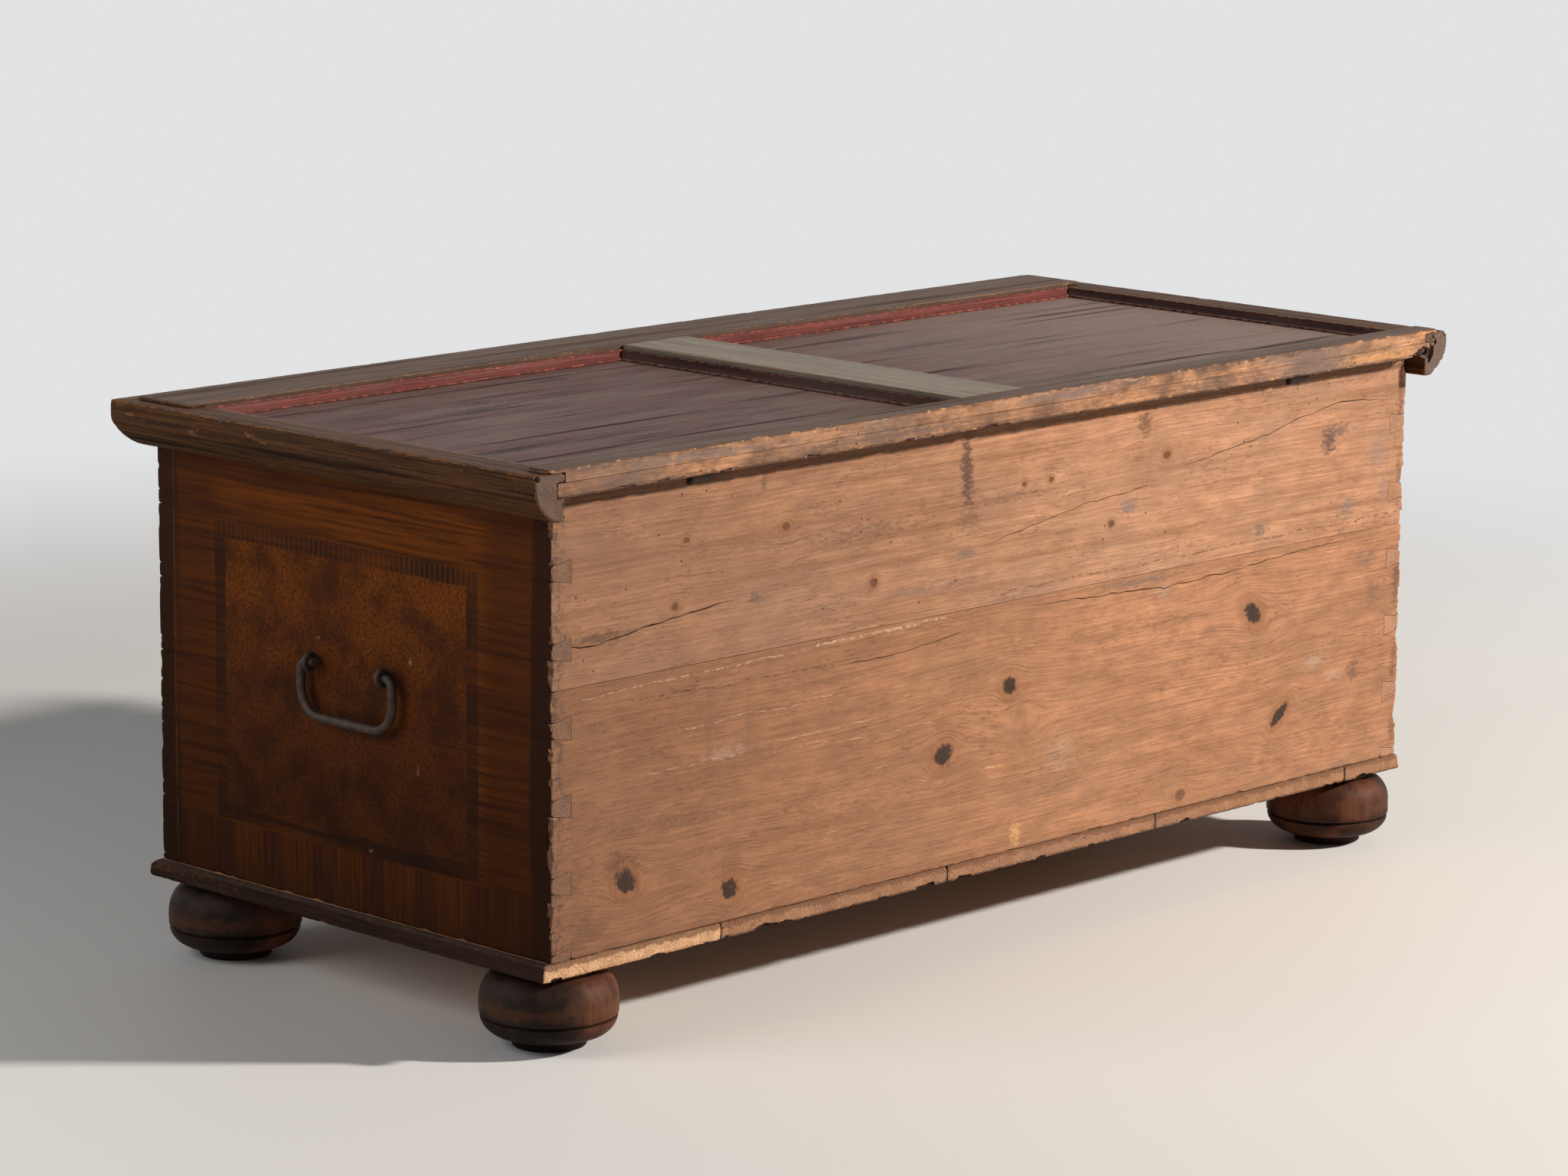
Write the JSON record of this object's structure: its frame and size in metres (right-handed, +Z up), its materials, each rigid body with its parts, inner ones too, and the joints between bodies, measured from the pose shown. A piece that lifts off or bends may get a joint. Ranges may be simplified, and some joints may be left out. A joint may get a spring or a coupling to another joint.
{
  "type": "wedding chest",
  "caption": "Long low pine chest with dovetailed corners, bun feet, a framed and moulded hinged lid, and a swinging iron bail handle on each end, for storing linen.",
  "frame": {"origin": "on the floor under the middle of the chest", "axes": "+X along the length towards the right end, +Y towards the back, +Z up; the front faces -Y"},
  "size_m": [1.382, 0.626, 0.5804],
  "materials": {
    "bare_pine": "bare aged pine, orange tan with grey patina",
    "painted_pine": "old brown grained paint, worn satin",
    "lid_paint": "dark purple brown paint, dusty and worn",
    "frame_paint": "grey green paint, dusty and worn",
    "red_paint": "faded red paint",
    "maroon_paint": "dark maroon paint",
    "turned_wood": "dark reddish brown turned wood, worn",
    "wrought_iron": "forged iron, dark with brown rust"
  },
  "bodies": {
    "chest": {"back_upper_board": "bare_pine", "back_lower_board": "bare_pine", "front_upper_board": "painted_pine", "front_lower_board": "painted_pine", "right_end_upper_board": "painted_pine", "right_end_lower_board": "painted_pine", "left_end_upper_board": "painted_pine", "left_end_lower_board": "painted_pine", "bottom_board_1": "bare_pine", "bottom_board_2": "bare_pine", "bottom_board_3": "bare_pine", "bottom_board_4": "bare_pine", "bottom_board_5": "bare_pine", "right_back_foot": "turned_wood", "right_front_foot": "turned_wood", "left_back_foot": "turned_wood", "left_front_foot": "turned_wood", "right_hinge_back_strap": "wrought_iron", "right_hinge_pin": "wrought_iron", "left_hinge_back_strap": "wrought_iron", "left_hinge_pin": "wrought_iron", "right_front_eye": "wrought_iron", "right_back_eye": "wrought_iron", "left_front_eye": "wrought_iron", "left_back_eye": "wrought_iron"},
    "lid": {"lid_front_board": "lid_paint", "lid_middle_board": "lid_paint", "lid_back_board": "lid_paint", "right_cleat": "painted_pine", "left_cleat": "painted_pine", "front_moulding": "painted_pine", "front_batten": "frame_paint", "back_batten": "frame_paint", "middle_batten": "frame_paint", "right_field_front_moulding": "red_paint", "right_field_back_moulding": "maroon_paint", "right_field_left_moulding": "maroon_paint", "right_field_right_moulding": "maroon_paint", "left_field_front_moulding": "red_paint", "left_field_back_moulding": "maroon_paint", "left_field_left_moulding": "maroon_paint", "left_field_right_moulding": "maroon_paint", "right_hinge_lid_strap": "wrought_iron", "left_hinge_lid_strap": "wrought_iron"},
    "right_handle": {"right_bail": "wrought_iron"},
    "left_handle": {"left_bail": "wrought_iron"}
  },
  "joints": [
    {"name": "lid_hinge", "type": "hinge", "parent": "chest", "child": "lid", "pos_m": [0, 0.291, 0.5459], "axis": [-1, 0, 0], "range_deg": [0, 100]},
    {"name": "right_handle_swing", "type": "hinge", "parent": "chest", "child": "right_handle", "pos_m": [0.6614, 0.01, 0.343], "axis": [0, -1, 0], "range_deg": [-5, 160]},
    {"name": "left_handle_swing", "type": "hinge", "parent": "chest", "child": "left_handle", "pos_m": [-0.6614, 0.01, 0.343], "axis": [0, 1, 0], "range_deg": [-5, 160]}
  ]
}
